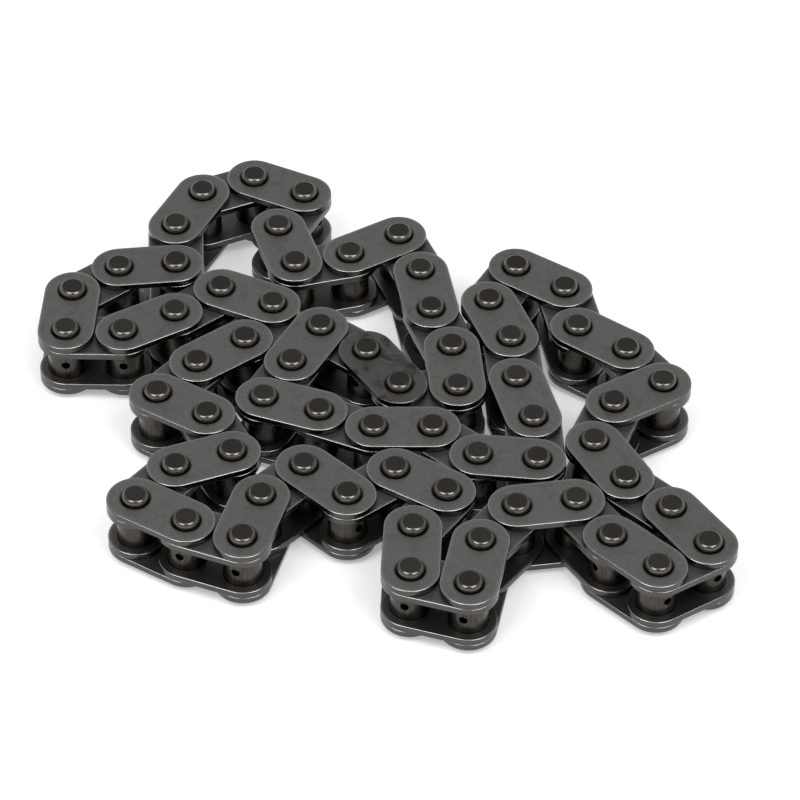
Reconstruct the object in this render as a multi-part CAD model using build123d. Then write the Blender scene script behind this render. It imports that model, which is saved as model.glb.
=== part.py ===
from build123d import *
import math
import os

# Timing chain: an endless bush chain of 66 pitches, lying on its side in a folded heap.
# Outer links (two plates, two pins) and inner links (two plates, two bushes) follow each other.
# The chain stands on the ends of its pins. Z = 0 is the surface under them, and the origin is
# the middle of the heap as seen from above.

# Pitch and plates, in millimetres
pitch = 9.525
end_gap = 0.225                  # between the round ends of two plates that follow each other
outer_plate_thickness = 1.15
inner_plate_thickness = 1.2
side_play = 0.06                 # between an inner plate and the outer plate over it
inner_width = 5.72               # between the inner plates, where a sprocket tooth enters

# Pins and bushes, in millimetres
pin_diameter = 4.4
pin_stand_out = 1.1              # of a pin past the outer plates, at both ends
shoulder_width = 0.55            # bevel of the pin's end, measured across the pin
shoulder_height = 0.5            # the same bevel, measured along the pin
running_clearance = 0.05         # between pin and bush, on the radius
bush_wall = 0.925
seam_gap = 0.1                   # butt seam of the rolled bush

# How the chain lies: the links' angles in whole degrees from +X, in the order of the loop.
# Each pair is one outer link and the inner link after it. The last pair closes the loop.
left_side_angles_deg = [(150, 50), (37, 63), (157, -141), (-150, 180), (87, 39), (7, 93)]
back_angles_deg = [(64, 24), (-24, -116), (-71, 15), (31, -67), (-79, -69), (-84, 178)]
middle_angles_deg = [(125, 144), (-118, -117), (-18, -22), (1, -40), (-5, 93), (106, 95)]
right_side_angles_deg = [(112, 61), (-32, -78), (-34, -53), (-149, -111), (-60, -42), (-54, -148)]
front_angles_deg = [(138, 125), (-171, -127), (-101, 164), (88, 56), (150, -142), (138, -134)]
front_left_angles_deg = [(-106, 160), (150, 51)]
angles_deg = (
    left_side_angles_deg
    + back_angles_deg
    + middle_angles_deg
    + right_side_angles_deg
    + front_angles_deg
    + front_left_angles_deg
)

# Sizes that follow from these
plate_height = pitch - end_gap
bush_bore = pin_diameter + 2 * running_clearance
bush_diameter = bush_bore + 2 * bush_wall

# Heights of the undersides, from the surface that the chain lies on
lower_outer_plate_z = pin_stand_out
lower_inner_plate_z = lower_outer_plate_z + outer_plate_thickness + side_play
upper_inner_plate_z = lower_inner_plate_z + inner_plate_thickness + inner_width
upper_outer_plate_z = upper_inner_plate_z + inner_plate_thickness + side_play
bush_length = upper_inner_plate_z + inner_plate_thickness - lower_inner_plate_z
pin_length = upper_outer_plate_z + outer_plate_thickness + pin_stand_out


def link_plate(thickness, hole_diameter):
    """A straight-sided plate with round ends. Its holes are at the origin and one pitch along X."""
    outline = Pos(pitch / 2, 0) * SlotCenterToCenter(pitch, plate_height)
    holes = [Pos(x, 0) * Circle(hole_diameter / 2) for x in (0, pitch)]
    return extrude(outline - holes, thickness)


def pin():
    """A solid pin that stands on Z = 0, with a bevelled shoulder round each flat end."""
    radius = pin_diameter / 2
    flat = radius - shoulder_width
    profile = Polyline(
        (0, 0),
        (flat, 0),
        (radius, shoulder_height),
        (radius, pin_length - shoulder_height),
        (flat, pin_length),
        (0, pin_length),
        close=True,
    )
    return revolve(Plane.XZ * make_face(profile), Axis.Z)


def bush():
    """A rolled sleeve that stands on Z = 0. Its butt seam faces +Y, out of the loop."""
    ring = Circle(bush_diameter / 2) - Circle(bush_bore / 2)
    seam = Pos(0, bush_diameter / 2) * Rectangle(seam_gap, bush_diameter)
    return extrude(ring - seam, bush_length)


def outer_link():
    """Lower plate, upper plate and the two pins pressed into them, one pitch apart along X."""
    plate = link_plate(outer_plate_thickness, pin_diameter)
    return [
        Pos(0, 0, lower_outer_plate_z) * plate,
        Pos(0, 0, upper_outer_plate_z) * plate,
        pin(),
        Pos(pitch, 0, 0) * pin(),
    ]


def inner_link():
    """Lower plate, upper plate and the two bushes pressed into them, one pitch apart along X."""
    plate = link_plate(inner_plate_thickness, bush_diameter)
    return [
        Pos(0, 0, lower_inner_plate_z) * plate,
        Pos(0, 0, upper_inner_plate_z) * plate,
        Pos(0, 0, lower_inner_plate_z) * bush(),
        Pos(pitch, 0, lower_inner_plate_z) * bush(),
    ]


def next_pin(at, angle_deg):
    """The pin one pitch away from a pin, at an angle in degrees from +X."""
    angle = math.radians(angle_deg)
    return (at[0] + pitch * math.cos(angle), at[1] + pitch * math.sin(angle))


def closing_pin(start, end):
    """The pin one pitch from both ends of the open loop, on the right of the way between them."""
    half = math.dist(start, end) / 2
    rise = math.sqrt(pitch**2 - half**2)
    across = ((end[0] - start[0]) / (2 * half), (end[1] - start[1]) / (2 * half))
    middle_x = (start[0] + end[0]) / 2
    middle_y = (start[1] + end[1]) / 2
    return (middle_x + rise * across[1], middle_y - rise * across[0])


def pin_places():
    """The pins in the order of the loop, with the middle of the heap at the origin."""
    places = [(0.0, 0.0)]
    for pair in angles_deg:
        for angle_deg in pair:
            places.append(next_pin(places[-1], angle_deg))
    places.append(closing_pin(places[-1], places[0]))
    middle_x = (min(p[0] for p in places) + max(p[0] for p in places)) / 2
    middle_y = (min(p[1] for p in places) + max(p[1] for p in places)) / 2
    return [(x - middle_x, y - middle_y) for x, y in places]


def link_places():
    """Where each link's first pin is and which way the link points, round the whole loop."""
    places = pin_places()
    ends = places[1:] + places[:1]
    turns = [math.degrees(math.atan2(b[1] - a[1], b[0] - a[0])) for a, b in zip(places, ends)]
    return [Pos(a[0], a[1], 0) * Rot(0, 0, turn) for a, turn in zip(places, turns)]


# These links share a node with the link after them
joined_to_the_next = [
    "inner_link_07",
    "outer_link_13",
    "outer_link_14",
    "outer_link_19",
    "outer_link_24",
    "outer_link_26",
]


def link_name(number):
    """A link's name from its number in the loop, counted from 0."""
    kind = "inner" if number % 2 else "outer"
    return f"{kind}_link_{number // 2 + 1:02d}"


def node_name(number):
    """The name of the node that holds a link."""
    before, name, after = [link_name(n) for n in (number - 1, number, number + 1)]
    if before in joined_to_the_next:
        return f"{before}_with_{name}"
    if name in joined_to_the_next:
        return f"{name}_with_{after}"
    return name


outer_pieces = outer_link()
inner_pieces = inner_link()

# Every link is the same set of pieces, turned and moved to its place in the heap
nodes = {}
for number, place in enumerate(link_places()):
    pieces = inner_pieces if number % 2 else outer_pieces
    nodes.setdefault(node_name(number), []).extend(place * piece for piece in pieces)

os.makedirs("parts", exist_ok=True)
for name, solids in nodes.items():
    export_step(Compound(children=solids), f"parts/{name}.step")
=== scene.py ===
import math

import bpy
import numpy as np
from mathutils import Matrix, Vector


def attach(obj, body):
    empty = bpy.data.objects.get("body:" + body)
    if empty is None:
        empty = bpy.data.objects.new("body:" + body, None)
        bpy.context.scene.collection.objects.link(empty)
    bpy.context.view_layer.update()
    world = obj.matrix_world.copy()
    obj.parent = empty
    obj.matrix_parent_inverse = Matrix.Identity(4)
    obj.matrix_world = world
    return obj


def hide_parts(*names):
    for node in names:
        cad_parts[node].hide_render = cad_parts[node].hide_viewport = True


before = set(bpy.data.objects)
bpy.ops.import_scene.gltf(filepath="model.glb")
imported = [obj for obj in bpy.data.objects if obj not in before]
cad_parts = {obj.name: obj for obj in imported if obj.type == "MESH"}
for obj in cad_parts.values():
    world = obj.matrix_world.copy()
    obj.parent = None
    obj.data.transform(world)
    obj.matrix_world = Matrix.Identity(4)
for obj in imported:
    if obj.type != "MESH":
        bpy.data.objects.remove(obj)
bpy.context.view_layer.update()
mm = 0.001

# The run of the chain. Sixty-six pins, one pitch apart, carry 33 outer and 33 inner links in
# turn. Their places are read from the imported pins: an outer link's highest points are the two
# flat ends of its pins, and the loop goes on to the pin of the next outer link one pitch away.
link_count = 33
flat_depth = 0.01 * mm
micron_digits = 6


def node_of(link):
    """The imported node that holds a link: its name is the link's, or has it as a part."""
    return next(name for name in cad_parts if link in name)


def pin_pair(link):
    """Centres of an outer link's two pins. Its highest points are split in two by the line
    through their middle, across the way to the farthest of them, and each half is averaged."""
    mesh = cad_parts[node_of(link)].data
    corners = np.empty(len(mesh.vertices) * 3)
    mesh.vertices.foreach_get("co", corners)
    corners = corners.reshape(-1, 3)
    ends = corners[corners[:, 2] > corners[:, 2].max() - flat_depth, :2]
    ends = np.unique(ends.round(micron_digits), axis=0)
    away = ends - ends.mean(0)
    side = away @ away[np.argmax((away**2).sum(1))] > 0
    return np.array([ends[side].mean(0), ends[~side].mean(0)]) / mm


pairs = [pin_pair(f"outer_link_{n + 1:02d}") for n in range(link_count)]
pitch = float(np.mean([np.linalg.norm(a - b) for a, b in pairs]))
between = []
for n, here in enumerate(pairs):
    there = pairs[(n + 1) % link_count]
    steps = np.linalg.norm(here[:, None] - there[None], axis=2)
    last, first = np.unravel_index(np.argmin(np.abs(steps - pitch)), (2, 2))
    between.append((here[last], there[first]))
outer_runs = [(between[n - 1][1], between[n][0]) for n in range(link_count)]
inner_runs = between

# Outer links. Each has two plates, blanked from spring steel strip, tumbled and hardened to a
# satin dark grey, and pressed onto two solid pins. The pins stand proud of the plates at both
# ends, with a flat, rough end and a rounded shoulder. Sizes are in millimetres.
plate_radius = 4.65
outer_plate_thickness = 1.15
outer_plate_middles = (1.675, 11.065)
pin_radius = 2.2
pin_length = 12.74
outer_hole_radius = pin_radius + 0.02
outer_hole_edge = 0.28
tiny = 1e-9
steel_grey = (0.225, 0.225, 0.222, 1)
worn_steel_grey = (0.32, 0.317, 0.306, 1)
dull_steel_grey = (0.10, 0.10, 0.097, 1)
# Painted shade: a dark grey painted on the plates' side walls.
painted_wall_shade_grey = (0.064, 0.063, 0.06, 1)
# Painted highlight: a light grey painted along the plates' rims as a bright edge line.
painted_edge_highlight = (0.34, 0.336, 0.325, 1)
pin_end_grey = (0.042, 0.041, 0.037, 1)
worn_pin_end_grey = (0.052, 0.051, 0.046, 1)
shoulder_straw = (0.135, 0.126, 0.111, 1)
# Dark brown for two things: a real oil film on the oily links, and painted shade in a ring round
# each pin hole.
oil_film_and_shade_brown = (0.045, 0.043, 0.038, 1)
# Painted shade: black painted on the pins between the plates, seen through the oil holes.
painted_shade_black = (0.012, 0.011, 0.01, 1)
oily_links = {12: 0.08, 13: 0.95}
seed = np.random.default_rng(66)


def plate_shape(thickness, hole_radius, hole_edge, rim_width=0.24, rim_drop=0.17):
    """A plate with two holes, as points, faces and a normal for each face corner.
    Columns stand round a hole. Each reaches out to the round end (reach R), to a straight side
    (R over the sine of the turn) or to the middle of the plate (half a pitch over the cosine).
    The profile goes over the edge of the hole (a quarter circle), along the face, round the rim
    (a quarter ellipse) and back below. The other half is turned by 180 degrees."""
    hole_steps, rim_steps = 3, 4
    corner = math.atan2(plate_radius, pitch / 2)
    stops = [corner, math.pi / 2, 3 * math.pi / 2, 2 * math.pi - corner, 2 * math.pi + corner]
    counts = [5, 18, 5, 8]
    outer_columns = sum(counts[:3])
    turns = [np.linspace(a, b, n, endpoint=False) for a, b, n in zip(stops, stops[1:], counts)]
    turn = np.concatenate(turns)
    ray = np.stack([np.cos(turn), np.sin(turn)], 1)
    straight = np.minimum(
        plate_radius / np.maximum(np.abs(ray[:, 1]), tiny),
        pitch / 2 / np.maximum(ray[:, 0], tiny),
    )
    on_end = ray[:, 0] < tiny
    reach = np.where(on_end, plate_radius, straight)
    outline = reach[:, None] * ray
    outward = np.where(on_end[:, None], ray, np.stack([0 * turn, np.sign(ray[:, 1])], 1))
    inside = np.arange(len(turn)) > outer_columns
    half = thickness / 2
    rows, lean = [], []
    for q in np.linspace(0, math.pi / 2, hole_steps):
        radius = hole_radius + hole_edge * (1 - math.cos(q))
        rows.append((radius * ray, half - hole_edge * (1 - math.sin(q))))
        lean.append((-math.cos(q) * ray, math.sin(q)))
    border = np.where(inside[:, None], outline, outline - 2 * rim_width * outward)
    border_row = len(rows)
    rows.append((border, half))
    lean.append((0 * ray, 1))
    for q in np.linspace(0, math.pi / 2, rim_steps):
        inset = rim_width * (1 - math.sin(q))
        rows.append((outline - inset * outward, half - rim_drop * (1 - math.cos(q))))
        slope = np.array([math.sin(q) * rim_drop, math.cos(q) * rim_width])
        slope /= np.linalg.norm(slope)
        lean.append((slope[0] * outward, slope[1]))
    rows += [(place, -height) for place, height in reversed(rows)]
    lean += [(across, -up) for across, up in reversed(lean)]
    points = np.array([np.column_stack([p, np.full(len(p), z)]) for p, z in rows])
    normals = np.array([np.column_stack([p, np.full(len(p), z)]) for p, z in lean])
    row_count, column_count = points.shape[:2]
    row, column = np.meshgrid(np.arange(row_count), np.arange(column_count), indexing="ij")
    next_row = (row + 1) % row_count
    next_column = (column + 1) % column_count
    quads = np.stack(
        [
            row * column_count + column,
            next_row * column_count + column,
            next_row * column_count + next_column,
            row * column_count + next_column,
        ],
        -1,
    )
    past_border = (row >= border_row) & (row < row_count - 1 - border_row)
    quads = quads[~((column >= outer_columns) & past_border)]
    points, normals = points.reshape(-1, 3), normals.reshape(-1, 3)
    turned = np.array([-1, -1, 1])
    other = points * turned + np.array([pitch, 0, 0])
    both = np.vstack([points, other])
    slants = np.vstack([normals, normals * turned])
    faces = np.vstack([quads, quads + len(points)])
    return welded(both, [faces], [slants[faces]])


def welded(points, faces, normals):
    """Points that agree to a ten-thousandth of a millimetre become one, and unused ones go."""
    agreed_digits = 4
    used = np.unique(np.concatenate([block.ravel() for block in faces]))
    rounded = points[used].round(agreed_digits)
    _, first, back = np.unique(rounded, axis=0, return_index=True, return_inverse=True)
    index = np.zeros(len(points), int)
    index[used] = back.ravel()
    return points[used][first], [index[block] for block in faces], normals


def pin_shape(columns=28):
    """A pin that stands on z = 0, turned from a profile: a flat end, a shoulder laid out by
    steps at given slopes, the straight side, and the same below. The end's rim wanders by a few
    hundredths of a millimetre round the pin, as the sum of two waves, and the middle of each
    end is one flat face. Shares say how far each ring follows the rim's wander."""
    two_wave, five_wave = 0.035, 0.025
    cap_radius = 0.75
    crown = 0.02
    turn = np.linspace(0, 2 * math.pi, columns, endpoint=False)
    ray = np.stack([np.cos(turn), np.sin(turn)], 1)
    phase = seed.uniform(0, 2 * math.pi, 2)
    wander = two_wave * np.sin(2 * turn + phase[0]) + five_wave * np.sin(5 * turn + phase[1])
    slope = np.radians([0, 24, 36, 50, 66, 80, 90])
    step = np.array([0.04, 0.13, 0.24, 0.26, 0.22, 0.15])
    middle = (slope[1:] + slope[:-1]) / 2
    run = np.concatenate([[0], np.cumsum(step * np.cos(middle))])
    fall = np.concatenate([[0], np.cumsum(step * np.sin(middle))])
    radius = np.concatenate([[cap_radius], pin_radius - run[-1] + run])
    height = np.concatenate([[0.0], -crown - fall])
    share = np.array([0, 1, 0.9, 0.8, 0.5, 0.2, 0, 0])
    out = np.concatenate([[0], np.sin(slope)])
    up = np.concatenate([[1], np.cos(slope)])
    radius, out = (np.concatenate([a, a[::-1]]) for a in (radius, out))
    up = np.concatenate([up, -up[::-1]])
    share = np.concatenate([share, share[::-1]])
    height = np.concatenate([pin_length + height, -height[::-1]])
    reach = radius[:, None] + share[:, None] * wander[None]
    tall = np.repeat(height[:, None], columns, 1)
    points = np.dstack([reach * ray[:, 0], reach * ray[:, 1], tall]).reshape(-1, 3)
    level = np.repeat(up[:, None], columns, 1)
    normals = np.dstack([out[:, None] * ray[:, 0], out[:, None] * ray[:, 1], level])
    normals = normals.reshape(-1, 3)
    quads = strips(len(radius), columns)[:, ::-1]
    ring = np.arange(columns)
    caps = np.array([ring, (len(radius) * columns - 1) - ring])
    return points, [quads, caps], [normals[quads], normals[caps]]


def strips(rows, columns):
    """Quads of a grid that is open along its rows and closed along its columns."""
    row, column = np.meshgrid(np.arange(rows - 1), np.arange(columns), indexing="ij")
    along = (column + 1) % columns
    corners = [row * columns, (row + 1) * columns]
    quads = [corners[0] + column, corners[0] + along, corners[1] + along, corners[1] + column]
    return np.stack(quads, -1).reshape(-1, 4)


def link_piece(name, start, end, parts, materials, oil=0.0):
    """One object for a link. Its parts are (shape, lift, shift, material number): each is lifted,
    shifted along the link, turned by the link's angle and set at the link's first pin.
    Each point keeps its place on the part, in millimetres, the part's own tone, and how much oil
    the link carries, from 0 to 1."""
    along = (end - start) / np.linalg.norm(end - start)
    turn = np.array([[along[0], -along[1], 0], [along[1], along[0], 0], [0, 0, 1]])
    points, polygons, slants, numbers, places, tones = [], [], [], [], [], []
    count = 0
    for (shape, faces, normals), lift, shift, number in parts:
        moved = (shape + np.array([shift, 0, lift])) @ turn.T + np.array([*start, 0])
        points.append(moved * mm)
        for block, slant in zip(faces, normals):
            polygons += (block + count).tolist()
            slants.append(slant.reshape(-1, 3) @ turn.T)
            numbers.append(np.full(len(block), number))
        places.append(shape)
        tones.append(np.full(len(shape), seed.uniform(-1, 1)))
        count += len(shape)
    mesh = bpy.data.meshes.new(name)
    mesh.from_pydata(np.vstack(points), [], polygons)
    for material in materials:
        mesh.materials.append(material)
    mesh.polygons.foreach_set("material_index", np.concatenate(numbers))
    mesh.polygons.foreach_set("use_smooth", np.ones(len(polygons), bool))
    for label, kind, field, values in (
        ("place", "FLOAT_VECTOR", "vector", np.vstack(places).ravel()),
        ("tone", "FLOAT", "value", np.concatenate(tones)),
        ("oil", "FLOAT", "value", np.full(count, oil)),
    ):
        mesh.attributes.new(label, kind, "POINT").data.foreach_set(field, values)
    mesh.normals_split_custom_set(np.vstack(slants))
    piece = bpy.data.objects.new(name, mesh)
    bpy.context.scene.collection.objects.link(piece)
    return piece


def new_group(name, inputs, outputs):
    """A shader node group with named sockets, and its own input and output nodes."""
    group = bpy.data.node_groups.new(name, "ShaderNodeTree")
    for label, kind, value in inputs:
        socket = group.interface.new_socket(label, in_out="INPUT", socket_type=kind)
        if value is not None:
            socket.default_value = value
    for label, kind in outputs:
        group.interface.new_socket(label, in_out="OUTPUT", socket_type=kind)
    return group, group.nodes.new("NodeGroupInput"), group.nodes.new("NodeGroupOutput")


def worked_steel():
    """Satin steel. Fine grain is noise whose place is scaled by the stretch, and smudges are the
    sharp part of broad noise. A part's tone shifts both, so that no two parts are alike. The
    bump follows the grain alone."""
    shift_by_tone = (40, 70, 0)
    floats = "NodeSocketFloat"
    group, given, result = new_group(
        "worked_steel",
        [
            ("Place", "NodeSocketVector", None),
            ("Tone", floats, 0.0),
            ("Stretch", "NodeSocketVector", (0.35, 1, 1)),
            ("Grain size", floats, 6.0),
            ("Bump", floats, 0.1),
        ],
        [("Grain", floats), ("Smudge", floats), ("Normal", "NodeSocketVector")],
    )
    nodes, link = group.nodes, group.links.new
    apart = nodes.new("ShaderNodeVectorMath")
    apart.operation = "MULTIPLY_ADD"
    link(given.outputs["Tone"], apart.inputs[0])
    apart.inputs[1].default_value = shift_by_tone
    link(given.outputs["Place"], apart.inputs[2])
    stretch = nodes.new("ShaderNodeVectorMath")
    stretch.operation = "MULTIPLY"
    link(apart.outputs[0], stretch.inputs[0])
    link(given.outputs["Stretch"], stretch.inputs[1])
    grain = nodes.new("ShaderNodeTexNoise")
    grain.inputs["Detail"].default_value = 3
    link(stretch.outputs[0], grain.inputs["Vector"])
    link(given.outputs["Grain size"], grain.inputs["Scale"])
    link(grain.outputs["Fac"], result.inputs["Grain"])
    broad = nodes.new("ShaderNodeTexNoise")
    broad.inputs["Scale"].default_value = 0.34
    broad.inputs["Detail"].default_value = 6
    broad.inputs["Roughness"].default_value = 0.62
    broad.inputs["Distortion"].default_value = 0.6
    link(apart.outputs[0], broad.inputs["Vector"])
    smudge = nodes.new("ShaderNodeMapRange")
    smudge.inputs["From Min"].default_value = 0.5
    smudge.inputs["From Max"].default_value = 0.72
    link(broad.outputs["Fac"], smudge.inputs["Value"])
    link(smudge.outputs[0], result.inputs["Smudge"])
    bump = nodes.new("ShaderNodeBump")
    bump.inputs["Distance"].default_value = 0.02 * mm
    link(given.outputs["Bump"], bump.inputs["Strength"])
    link(grain.outputs["Fac"], bump.inputs["Height"])
    link(bump.outputs[0], result.inputs["Normal"])
    return group


def plate_zones():
    """How far a place on a plate is from its outline and from its nearer hole's centre.
    The outline is at the plate's radius from the line between the two holes."""
    floats = "NodeSocketFloat"
    group, given, result = new_group(
        "plate_zones",
        [("Place", "NodeSocketVector", None)],
        [("From rim", floats), ("From hole centre", floats)],
    )
    nodes, link = group.nodes, group.links.new
    parts = nodes.new("ShaderNodeSeparateXYZ")
    link(given.outputs["Place"], parts.inputs[0])
    flat = nodes.new("ShaderNodeCombineXYZ")
    link(parts.outputs["X"], flat.inputs["X"])
    link(parts.outputs["Y"], flat.inputs["Y"])
    nearest = nodes.new("ShaderNodeClamp")
    nearest.inputs["Max"].default_value = pitch
    link(parts.outputs["X"], nearest.inputs["Value"])
    spine = nodes.new("ShaderNodeCombineXYZ")
    link(nearest.outputs[0], spine.inputs["X"])
    from_spine = nodes.new("ShaderNodeVectorMath")
    from_spine.operation = "DISTANCE"
    link(flat.outputs[0], from_spine.inputs[0])
    link(spine.outputs[0], from_spine.inputs[1])
    inset = nodes.new("ShaderNodeMath")
    inset.operation = "SUBTRACT"
    inset.inputs[0].default_value = plate_radius
    link(from_spine.outputs["Value"], inset.inputs[1])
    link(inset.outputs[0], result.inputs["From rim"])
    reaches = []
    for centre in (0, pitch):
        reach = nodes.new("ShaderNodeVectorMath")
        reach.operation = "DISTANCE"
        link(flat.outputs[0], reach.inputs[0])
        reach.inputs[1].default_value = (centre, 0, 0)
        reaches.append(reach)
    nearer = nodes.new("ShaderNodeMath")
    nearer.operation = "MINIMUM"
    link(reaches[0].outputs["Value"], nearer.inputs[0])
    link(reaches[1].outputs["Value"], nearer.inputs[1])
    link(nearer.outputs[0], result.inputs["From hole centre"])
    return group


steel_group = worked_steel()
zone_group = plate_zones()


def colour_mix(tree, share, first, second):
    """Two colours mixed by a share from 0 to 1, in a shader tree."""
    node = tree.nodes.new("ShaderNodeMix")
    node.data_type = "RGBA"
    tree.links.new(share, node.inputs["Factor"])
    for label, colour in (("A", first), ("B", second)):
        socket = [s for s in node.inputs if s.name == label and s.type == "RGBA"][0]
        if isinstance(colour, bpy.types.NodeSocket):
            tree.links.new(colour, socket)
        else:
            socket.default_value = colour
    return [s for s in node.outputs if s.type == "RGBA"][0]


class Recipe:
    """A material with its Principled BSDF at hand, and short ways to add the usual nodes."""

    def __init__(self, name, metallic=1.0):
        self.material = bpy.data.materials.new(name)
        self.material.use_nodes = True
        self.nodes = self.material.node_tree.nodes
        self.link = self.material.node_tree.links.new
        self.shader = self.nodes["Principled BSDF"]
        self.shader.inputs["Metallic"].default_value = metallic

    def attribute(self, name, output):
        """A value kept on the mesh's points."""
        node = self.nodes.new("ShaderNodeAttribute")
        node.attribute_name = name
        return node.outputs[output]

    def group(self, tree, **given):
        """A shared group, with sockets linked or set by name, spaces written as underscores."""
        node = self.nodes.new("ShaderNodeGroup")
        node.node_tree = tree
        for label, value in given.items():
            socket = node.inputs[label.replace("_", " ")]
            if isinstance(value, bpy.types.NodeSocket):
                self.link(value, socket)
            else:
                socket.default_value = value
        return node.outputs

    def ramp(self, value, low, high, to_low=0.0, to_high=1.0):
        """A value carried smoothly from one range to another, and held beyond its ends."""
        node = self.nodes.new("ShaderNodeMapRange")
        node.interpolation_type = "SMOOTHSTEP"
        self.link(value, node.inputs["Value"])
        for label, number in (
            ("From Min", low),
            ("From Max", high),
            ("To Min", to_low),
            ("To Max", to_high),
        ):
            node.inputs[label].default_value = number
        return node.outputs[0]

    def join(self, operation, *terms):
        """Sockets and numbers joined by a math operation, one after the other."""
        total = terms[0]
        for term in terms[1:]:
            node = self.nodes.new("ShaderNodeMath")
            node.operation = operation
            for place, part in enumerate((total, term)):
                if isinstance(part, bpy.types.NodeSocket):
                    self.link(part, node.inputs[place])
                else:
                    node.inputs[place].default_value = part
            total = node.outputs[0]
        return total

    def sum(self, *terms):
        """Sockets and numbers added."""
        return self.join("ADD", *terms)

    def times(self, *terms):
        """Sockets and numbers multiplied."""
        return self.join("MULTIPLY", *terms)

    def mix(self, share, first, second):
        """Two colours mixed by a share from 0 to 1."""
        return colour_mix(self.material.node_tree, share, first, second)

    def finish(self, colour, roughness, normal):
        """Puts a colour, a roughness and a normal into the shader."""
        self.link(colour, self.shader.inputs["Base Color"])
        self.link(roughness, self.shader.inputs["Roughness"])
        self.link(normal, self.shader.inputs["Normal"])
        return self.material


def plate_steel(name, colour, worn_colour, dull_colour, wall_shade_colour):
    """Plate steel: a shade of its own for each plate, smudges, a lighter border where the
    tumbling has rubbed the rim, a painted highlight along the edge, painted shade on the side
    walls and in a dark ring round the hole where the pin meets the plate, an oil film on the
    oily links, and on some plates a faint, broken ring that the press has left farther out. The
    zones lie between two distances in millimetres, from the rim or from the hole's centre."""
    wall_shade_zone = (0.03, 0.09)
    edge_highlight_zone = (0.12, 0.26)
    border_zone = (0.12, 0.75)
    hole_shade_zone = (2.40, 2.78)
    press_inside = (2.95, 3.05)
    press_outside = (3.15, 3.35)
    pressed_grain = (0.45, 0.65)
    pressed_tone = (0.2, 0.9)
    film_patches = (0.3, 1.3)
    thinnest_film = 0.42
    plain_shade = 0.25
    tone_share = 0.05
    press_share = 0.5
    grain_share = 1.1
    smudge_share = -0.35
    border_share = 0.6
    wall_shade_share = 0.95
    hole_shade_share = 0.85
    roughness = 0.41
    smudge_roughness = 0.03
    rubbed_roughness = -0.08
    recipe = Recipe(name)
    place = recipe.attribute("place", "Vector")
    tone = recipe.attribute("tone", "Fac")
    steel = recipe.group(
        steel_group, Place=place, Tone=tone, Stretch=(0.6, 1, 1), Grain_size=3.4, Bump=0.04
    )
    grain, smudge = steel["Grain"], steel["Smudge"]
    zones = recipe.group(zone_group, Place=place)
    from_rim, from_centre = zones["From rim"], zones["From hole centre"]
    # The wall mask paints shade on the side walls.
    wall_shade = recipe.ramp(from_rim, *wall_shade_zone, 1.0, 0.0)
    # The edge mask paints a highlight along the rim.
    edge = recipe.ramp(from_rim, *edge_highlight_zone, 1.0, 0.0)
    border = recipe.ramp(from_rim, *border_zone, 1.0, 0.0)
    # Painted shade: a dark ring round each hole, in the groove where the pin meets the plate.
    painted_hole_shade = recipe.ramp(from_centre, *hole_shade_zone, 1.0, 0.0)
    press_ring = recipe.times(
        recipe.ramp(from_centre, *press_inside),
        recipe.ramp(from_centre, *press_outside, 1.0, 0.0),
        recipe.ramp(grain, *pressed_grain),
        recipe.ramp(tone, *pressed_tone),
    )
    film = recipe.times(
        recipe.ramp(recipe.sum(smudge, grain), *film_patches, thinnest_film, 1.0),
        recipe.attribute("oil", "Fac"),
    )
    shade = recipe.sum(
        recipe.times(tone, tone_share),
        recipe.times(press_ring, press_share),
        recipe.times(grain, grain_share),
        recipe.times(smudge, smudge_share),
        plain_shade,
    )
    base = recipe.mix(shade, dull_colour, colour)
    rubbed = recipe.mix(recipe.times(border, border_share), base, worn_colour)
    edged = recipe.mix(edge, rubbed, painted_edge_highlight)
    wall_shaded = recipe.mix(recipe.times(wall_shade, wall_shade_share), edged, wall_shade_colour)
    ringed = recipe.mix(recipe.times(painted_hole_shade, hole_shade_share), wall_shaded, oil_film_and_shade_brown)
    oiled = recipe.mix(film, ringed, oil_film_and_shade_brown)
    rough = recipe.sum(
        recipe.times(smudge, smudge_roughness),
        recipe.times(border, rubbed_roughness),
        recipe.times(edge, rubbed_roughness),
        roughness,
    )
    return recipe.finish(oiled, rough, steel["Normal"])


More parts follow.
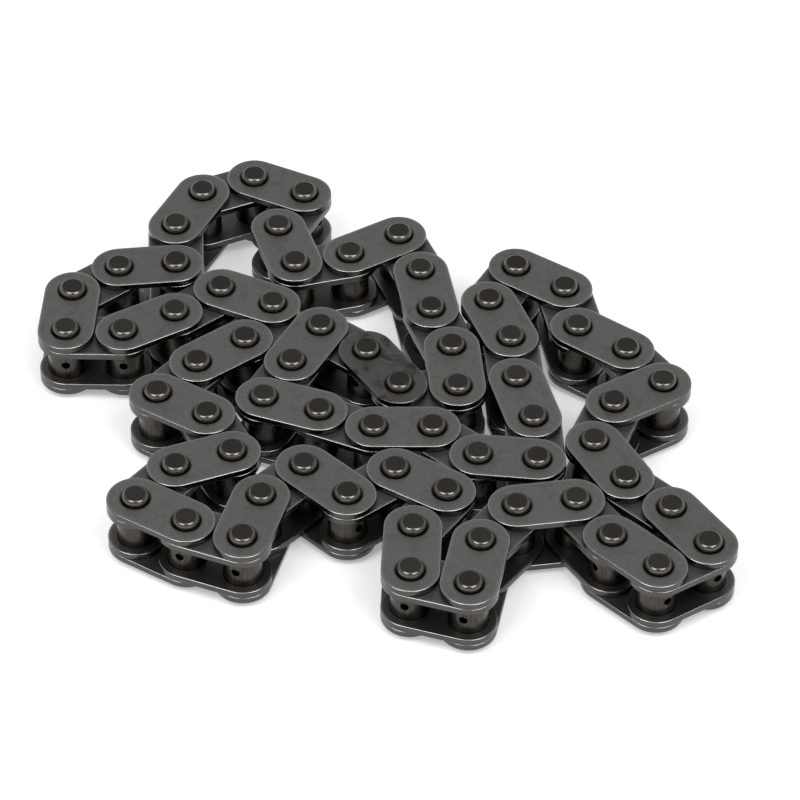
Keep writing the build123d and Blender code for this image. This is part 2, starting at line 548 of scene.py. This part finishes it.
def pin_steel(name, end_colour, worn_end_colour, shoulder_colour):
    """Pin steel: a dark, rough flat end, more worn on some pins than on others, and a smooth,
    slightly straw-coloured shoulder. Between the plates it is painted black, as shade seen
    through the bushes' oil holes. The end and the painted shade fade out between two distances in
    millimetres, from the pin's axis and along it from its middle."""
    end_fade = (1.72, 1.80)
    end_raggedness = 0.25
    pin_shade_fade = (5.0, 5.3)
    end_roughness = 0.5
    shoulder_roughness = 0.17
    recipe = Recipe(name)
    place = recipe.attribute("place", "Vector")
    tone = recipe.attribute("tone", "Fac")
    steel = recipe.group(steel_group, Place=place, Tone=tone, Grain_size=5.0, Bump=0.12)
    flat = recipe.nodes.new("ShaderNodeVectorMath")
    flat.operation = "MULTIPLY"
    recipe.link(place, flat.inputs[0])
    flat.inputs[1].default_value = (1, 1, 0)
    from_axis = recipe.nodes.new("ShaderNodeVectorMath")
    from_axis.operation = "LENGTH"
    recipe.link(flat.outputs[0], from_axis.inputs[0])
    wandering = recipe.sum(
        from_axis.outputs["Value"], recipe.times(steel["Grain"], end_raggedness)
    )
    shoulder = recipe.ramp(wandering, *end_fade)
    end = recipe.mix(recipe.ramp(tone, -1.0, 1.0), end_colour, worn_end_colour)
    parts = recipe.nodes.new("ShaderNodeSeparateXYZ")
    recipe.link(place, parts.inputs[0])
    from_middle = recipe.sum(parts.outputs["Z"], -pin_length / 2)
    squared = recipe.join("POWER", from_middle, 2.0)
    # Painted shade: the pin is black between the plates.
    inside = recipe.ramp(squared, pin_shade_fade[0] ** 2, pin_shade_fade[1] ** 2, 1.0, 0.0)
    outside = recipe.mix(shoulder, end, shoulder_colour)
    colour = recipe.mix(inside, outside, painted_shade_black)
    smoother = recipe.times(shoulder, shoulder_roughness - end_roughness)
    return recipe.finish(colour, recipe.sum(end_roughness, smoother), steel["Normal"])


outer_steel = plate_steel(
    "outer_plate_steel", steel_grey, worn_steel_grey, dull_steel_grey, painted_wall_shade_grey
)
pin_finish = pin_steel("pin_steel", pin_end_grey, worn_pin_end_grey, shoulder_straw)
outer_plate = plate_shape(outer_plate_thickness, outer_hole_radius, outer_hole_edge)
for number, (start, end) in enumerate(outer_runs, 1):
    link = f"outer_link_{number:02d}"
    parts = [(outer_plate, lift, 0, 0) for lift in outer_plate_middles]
    parts += [(pin_shape(), 0, shift, 1) for shift in (0, pitch)]
    name = f"outer_plates_and_pins_{number:02d}"
    oil = oily_links.get(number, 0.0)
    piece = link_piece(name, start, end, parts, [outer_steel, pin_finish], oil)
    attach(piece, node_of(link))
    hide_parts(node_of(link))

# Inner links. Two thicker plates are pressed onto two bushes. A bush is a strip of steel rolled
# into a sleeve: its butt seam faces out of the loop, with an oil hole on it, half in each edge.
inner_plate_thickness = 1.2
inner_plate_middles = (2.91, 9.83)
inner_hole_edge = 0.1
bush_radius = 3.175
bush_bore_radius = 2.25
bush_foot = 2.31
bush_length = 8.12
oil_hole_radius = 0.74
oil_hole_height = 4.06
# The inner plates' greys are darker than the outer plates': partly their own steel, and partly
# painted shade, as they lie under the outer plates.
inner_grey_with_painted_shade = (0.155, 0.153, 0.147, 1)
worn_inner_grey_with_painted_shade = (0.28, 0.276, 0.264, 1)
dull_inner_grey_with_painted_shade = (0.08, 0.079, 0.074, 1)
barrel_grey = (0.066, 0.064, 0.059, 1)
stain_brown = (0.045, 0.039, 0.031, 1)


def bush_shape(columns=30):
    """A rolled sleeve that stands on z = 0. Its section is a ring that is open at the seam, with
    rounded edges there. The seam is wider where the oil hole is: its edge lies at the root of the
    hole's radius squared less the height's distance squared. Rows are close round the hole."""
    seam_half = 0.025
    edge = 0.08
    hole_steps = 9
    swing = np.linspace(-math.pi / 2, math.pi / 2, hole_steps)
    hole_rows = oil_hole_height + oil_hole_radius * np.sin(swing)
    height = np.concatenate([[0], hole_rows, [bush_length]])
    width = np.maximum(oil_hole_radius**2 - (height - oil_hole_height) ** 2, 0) ** 0.5
    start = np.maximum(width, seam_half) / bush_radius
    near = np.array([0, 0.3, 1]) * edge / bush_radius
    share = np.linspace(0, 1, columns - 2 * len(near) + 2)[1:-1]
    span = 2 * math.pi - 2 * (start[:, None] + near[-1])
    middle = start[:, None] + near[-1] + share[None] * span
    first = start[:, None] + near[None]
    turn = np.hstack([first, middle, 2 * math.pi - first[:, ::-1]])
    drop = np.zeros(columns)
    drop[:2] = edge * (1 - np.sqrt(1 - (1 - near[:2] * bush_radius / edge) ** 2))
    drop[-2:] = drop[1::-1]
    reach = np.hstack([bush_radius - drop, np.full(columns, bush_bore_radius)])
    turn = np.hstack([turn, turn[:, ::-1]])
    out = np.stack([-np.sin(turn), np.cos(turn), 0 * turn], -1)
    points = out * reach[None, :, None]
    points[..., 2] = height[:, None]
    normals = np.where(np.arange(2 * columns)[None, :, None] < columns, out, -out)
    rows, loop = turn.shape
    quads = strips(rows, loop)
    seam_columns = (columns - 1, loop - 1)
    on_seam = np.isin(quads[:, 0] % loop, seam_columns)
    sides, seams = quads[~on_seam], quads[on_seam]
    corners = points.reshape(-1, 3)
    across = np.cross(
        corners[seams[:, 1]] - corners[seams[:, 0]],
        corners[seams[:, 3]] - corners[seams[:, 0]],
    )
    across /= np.maximum(np.linalg.norm(across, axis=1, keepdims=True), tiny)
    index = np.arange(columns - 1)
    lid = np.stack([index, loop - 1 - index, loop - 2 - index, index + 1], 1)
    caps = np.vstack([lid, (lid + (rows - 1) * loop)[:, ::-1]])
    up = np.repeat([[0, 0, -1.0], [0, 0, 1.0]], len(lid), 0)
    slants = [
        normals.reshape(-1, 3)[sides],
        np.repeat(across[:, None], 4, 1),
        np.repeat(up[:, None], 4, 1),
    ]
    return corners, [sides, seams, caps], slants


def bush_steel(name, colour, stain_colour):
    """Bush steel: a dark, polished barrel with faint streaks along it and a stain at its foot,
    which fades out between two heights in millimetres."""
    streaks = (1.0, 1.0, 0.12)
    foot_fade = (1.9, 3.0)
    foot_wander = 1.2
    foot_share = 0.5
    stained_grain = (0.35, 0.7)
    roughness = 0.24
    smudge_roughness = 0.12
    recipe = Recipe(name)
    place = recipe.attribute("place", "Vector")
    tone = recipe.attribute("tone", "Fac")
    steel = recipe.group(
        steel_group, Place=place, Tone=tone, Stretch=streaks, Grain_size=3.5, Bump=0.12
    )
    parts = recipe.nodes.new("ShaderNodeSeparateXYZ")
    recipe.link(place, parts.inputs[0])
    wavy = recipe.sum(parts.outputs["Z"], recipe.times(steel["Grain"], foot_wander))
    foot = recipe.ramp(wavy, *foot_fade, 1.0, 0.0)
    base = recipe.mix(recipe.ramp(steel["Grain"], *stained_grain), colour, stain_colour)
    stained = recipe.mix(recipe.times(foot, foot_share), base, stain_colour)
    rough = recipe.sum(roughness, recipe.times(steel["Smudge"], smudge_roughness))
    return recipe.finish(stained, rough, steel["Normal"])


inner_steel = plate_steel(
    "inner_plate_steel", inner_grey_with_painted_shade, worn_inner_grey_with_painted_shade, dull_inner_grey_with_painted_shade, painted_wall_shade_grey
)
barrel_steel = bush_steel("bush_steel", barrel_grey, stain_brown)
inner_plate = plate_shape(inner_plate_thickness, bush_radius, inner_hole_edge)
bush = bush_shape()
for number, (start, end) in enumerate(inner_runs, 1):
    link = f"inner_link_{number:02d}"
    parts = [(inner_plate, lift, 0, 0) for lift in inner_plate_middles]
    parts += [(bush, bush_foot, shift, 1) for shift in (0, pitch)]
    name = f"inner_plates_and_bushes_{number:02d}"
    piece = link_piece(name, start, end, parts, [inner_steel, barrel_steel])
    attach(piece, node_of(link))
    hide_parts(node_of(link))

# The floor. A plain white sheet that the pins' ends stand on, a hair below them so that the two
# faces don't meet. It takes the soft shadow, and is lifted towards white where the camera and
# the polished steel see it.
floor_half = 1.5
floor_gap = 0.02 * mm
floor_white = (0.9, 0.9, 0.9, 1)
floor_roughness = 0.9
floor_lift = (0.28, 0.28, 0.28, 1)
black = (0, 0, 0, 1)
floor_corners = ((-1, -1), (1, -1), (1, 1), (-1, 1))
floor_mesh = bpy.data.meshes.new("floor")
floor_mesh.from_pydata(
    [(x * floor_half, y * floor_half, -floor_gap) for x, y in floor_corners],
    [],
    [(0, 1, 2, 3)],
)
floor = bpy.data.objects.new("floor", floor_mesh)
bpy.context.scene.collection.objects.link(floor)
sheet = Recipe("white_sheet", metallic=0.0)
sheet.shader.inputs["Base Color"].default_value = floor_white
sheet.shader.inputs["Roughness"].default_value = floor_roughness
sheet.shader.inputs["Emission Strength"].default_value = 1.0
paths = sheet.nodes.new("ShaderNodeLightPath")
seen = sheet.join("MAXIMUM", paths.outputs["Is Camera Ray"], paths.outputs["Is Glossy Ray"])
sheet.link(sheet.mix(seen, black, floor_lift), sheet.shader.inputs["Emission Color"])
floor_mesh.materials.append(sheet.material)

# Light. A pale room, white low down and grey overhead, and three soft boxes. The one overhead
# draws the bright line along the front rims. The two at the sides draw the glints on each pin's
# shoulder.
room_low = (1.0, 1.0, 1.0, 1)
room_high = (0.18, 0.18, 0.18, 1)
world = bpy.data.worlds.new("pale_room")
bpy.context.scene.world = world
world.use_nodes = True
room = world.node_tree
room_places = room.nodes.new("ShaderNodeTexCoord")
room_parts = room.nodes.new("ShaderNodeSeparateXYZ")
room.links.new(room_places.outputs["Generated"], room_parts.inputs[0])
room_fade = colour_mix(room, room_parts.outputs["Z"], room_low, room_high)
room.links.new(room_fade, room.nodes["Background"].inputs["Color"])


def soft_box(name, place, size, watts):
    """A square area lamp that faces the chain."""
    lamp = bpy.data.lights.new(name, "AREA")
    lamp.shape = "SQUARE"
    lamp.size = size
    lamp.energy = watts
    box = bpy.data.objects.new(name, lamp)
    box.location = place
    box.rotation_euler = (-Vector(place)).to_track_quat("-Z", "Y").to_euler()
    bpy.context.scene.collection.objects.link(box)


soft_box("left_soft_box", place=(-0.335, -0.30, 0.72), size=0.42, watts=2.6)
soft_box("right_soft_box", place=(0.335, -0.30, 0.72), size=0.42, watts=2.6)
soft_box("top_soft_box", place=(0, 0, 0.85), size=0.3, watts=0.9)

# Camera. A long lens from the front, 44 degrees above the floor, fitted to the 66 pin ends.
image_width = 800
focal_pixels = 4032.7
camera_distance = 652.41 * mm
camera_rise = math.radians(44.424)
camera_roll = 0.014109
aim = Vector((3.286, -8.0015, 12.74)) * mm
lens = bpy.data.cameras.new("camera")
lens.sensor_width = 36
lens.lens = focal_pixels / image_width * lens.sensor_width
camera = bpy.data.objects.new("camera", lens)
forward = Vector((0, math.cos(camera_rise), -math.sin(camera_rise)))
level = Vector((1, 0, 0))
above = level.cross(forward)
right = math.cos(camera_roll) * level + math.sin(camera_roll) * above
up = math.cos(camera_roll) * above - math.sin(camera_roll) * level
camera.matrix_world = Matrix.Translation(aim - camera_distance * forward) @ Matrix(
    (right, up, -forward)
).transposed().to_4x4()
bpy.context.scene.collection.objects.link(camera)
bpy.context.scene.camera = camera
bpy.context.scene.view_settings.view_transform = "Standard"
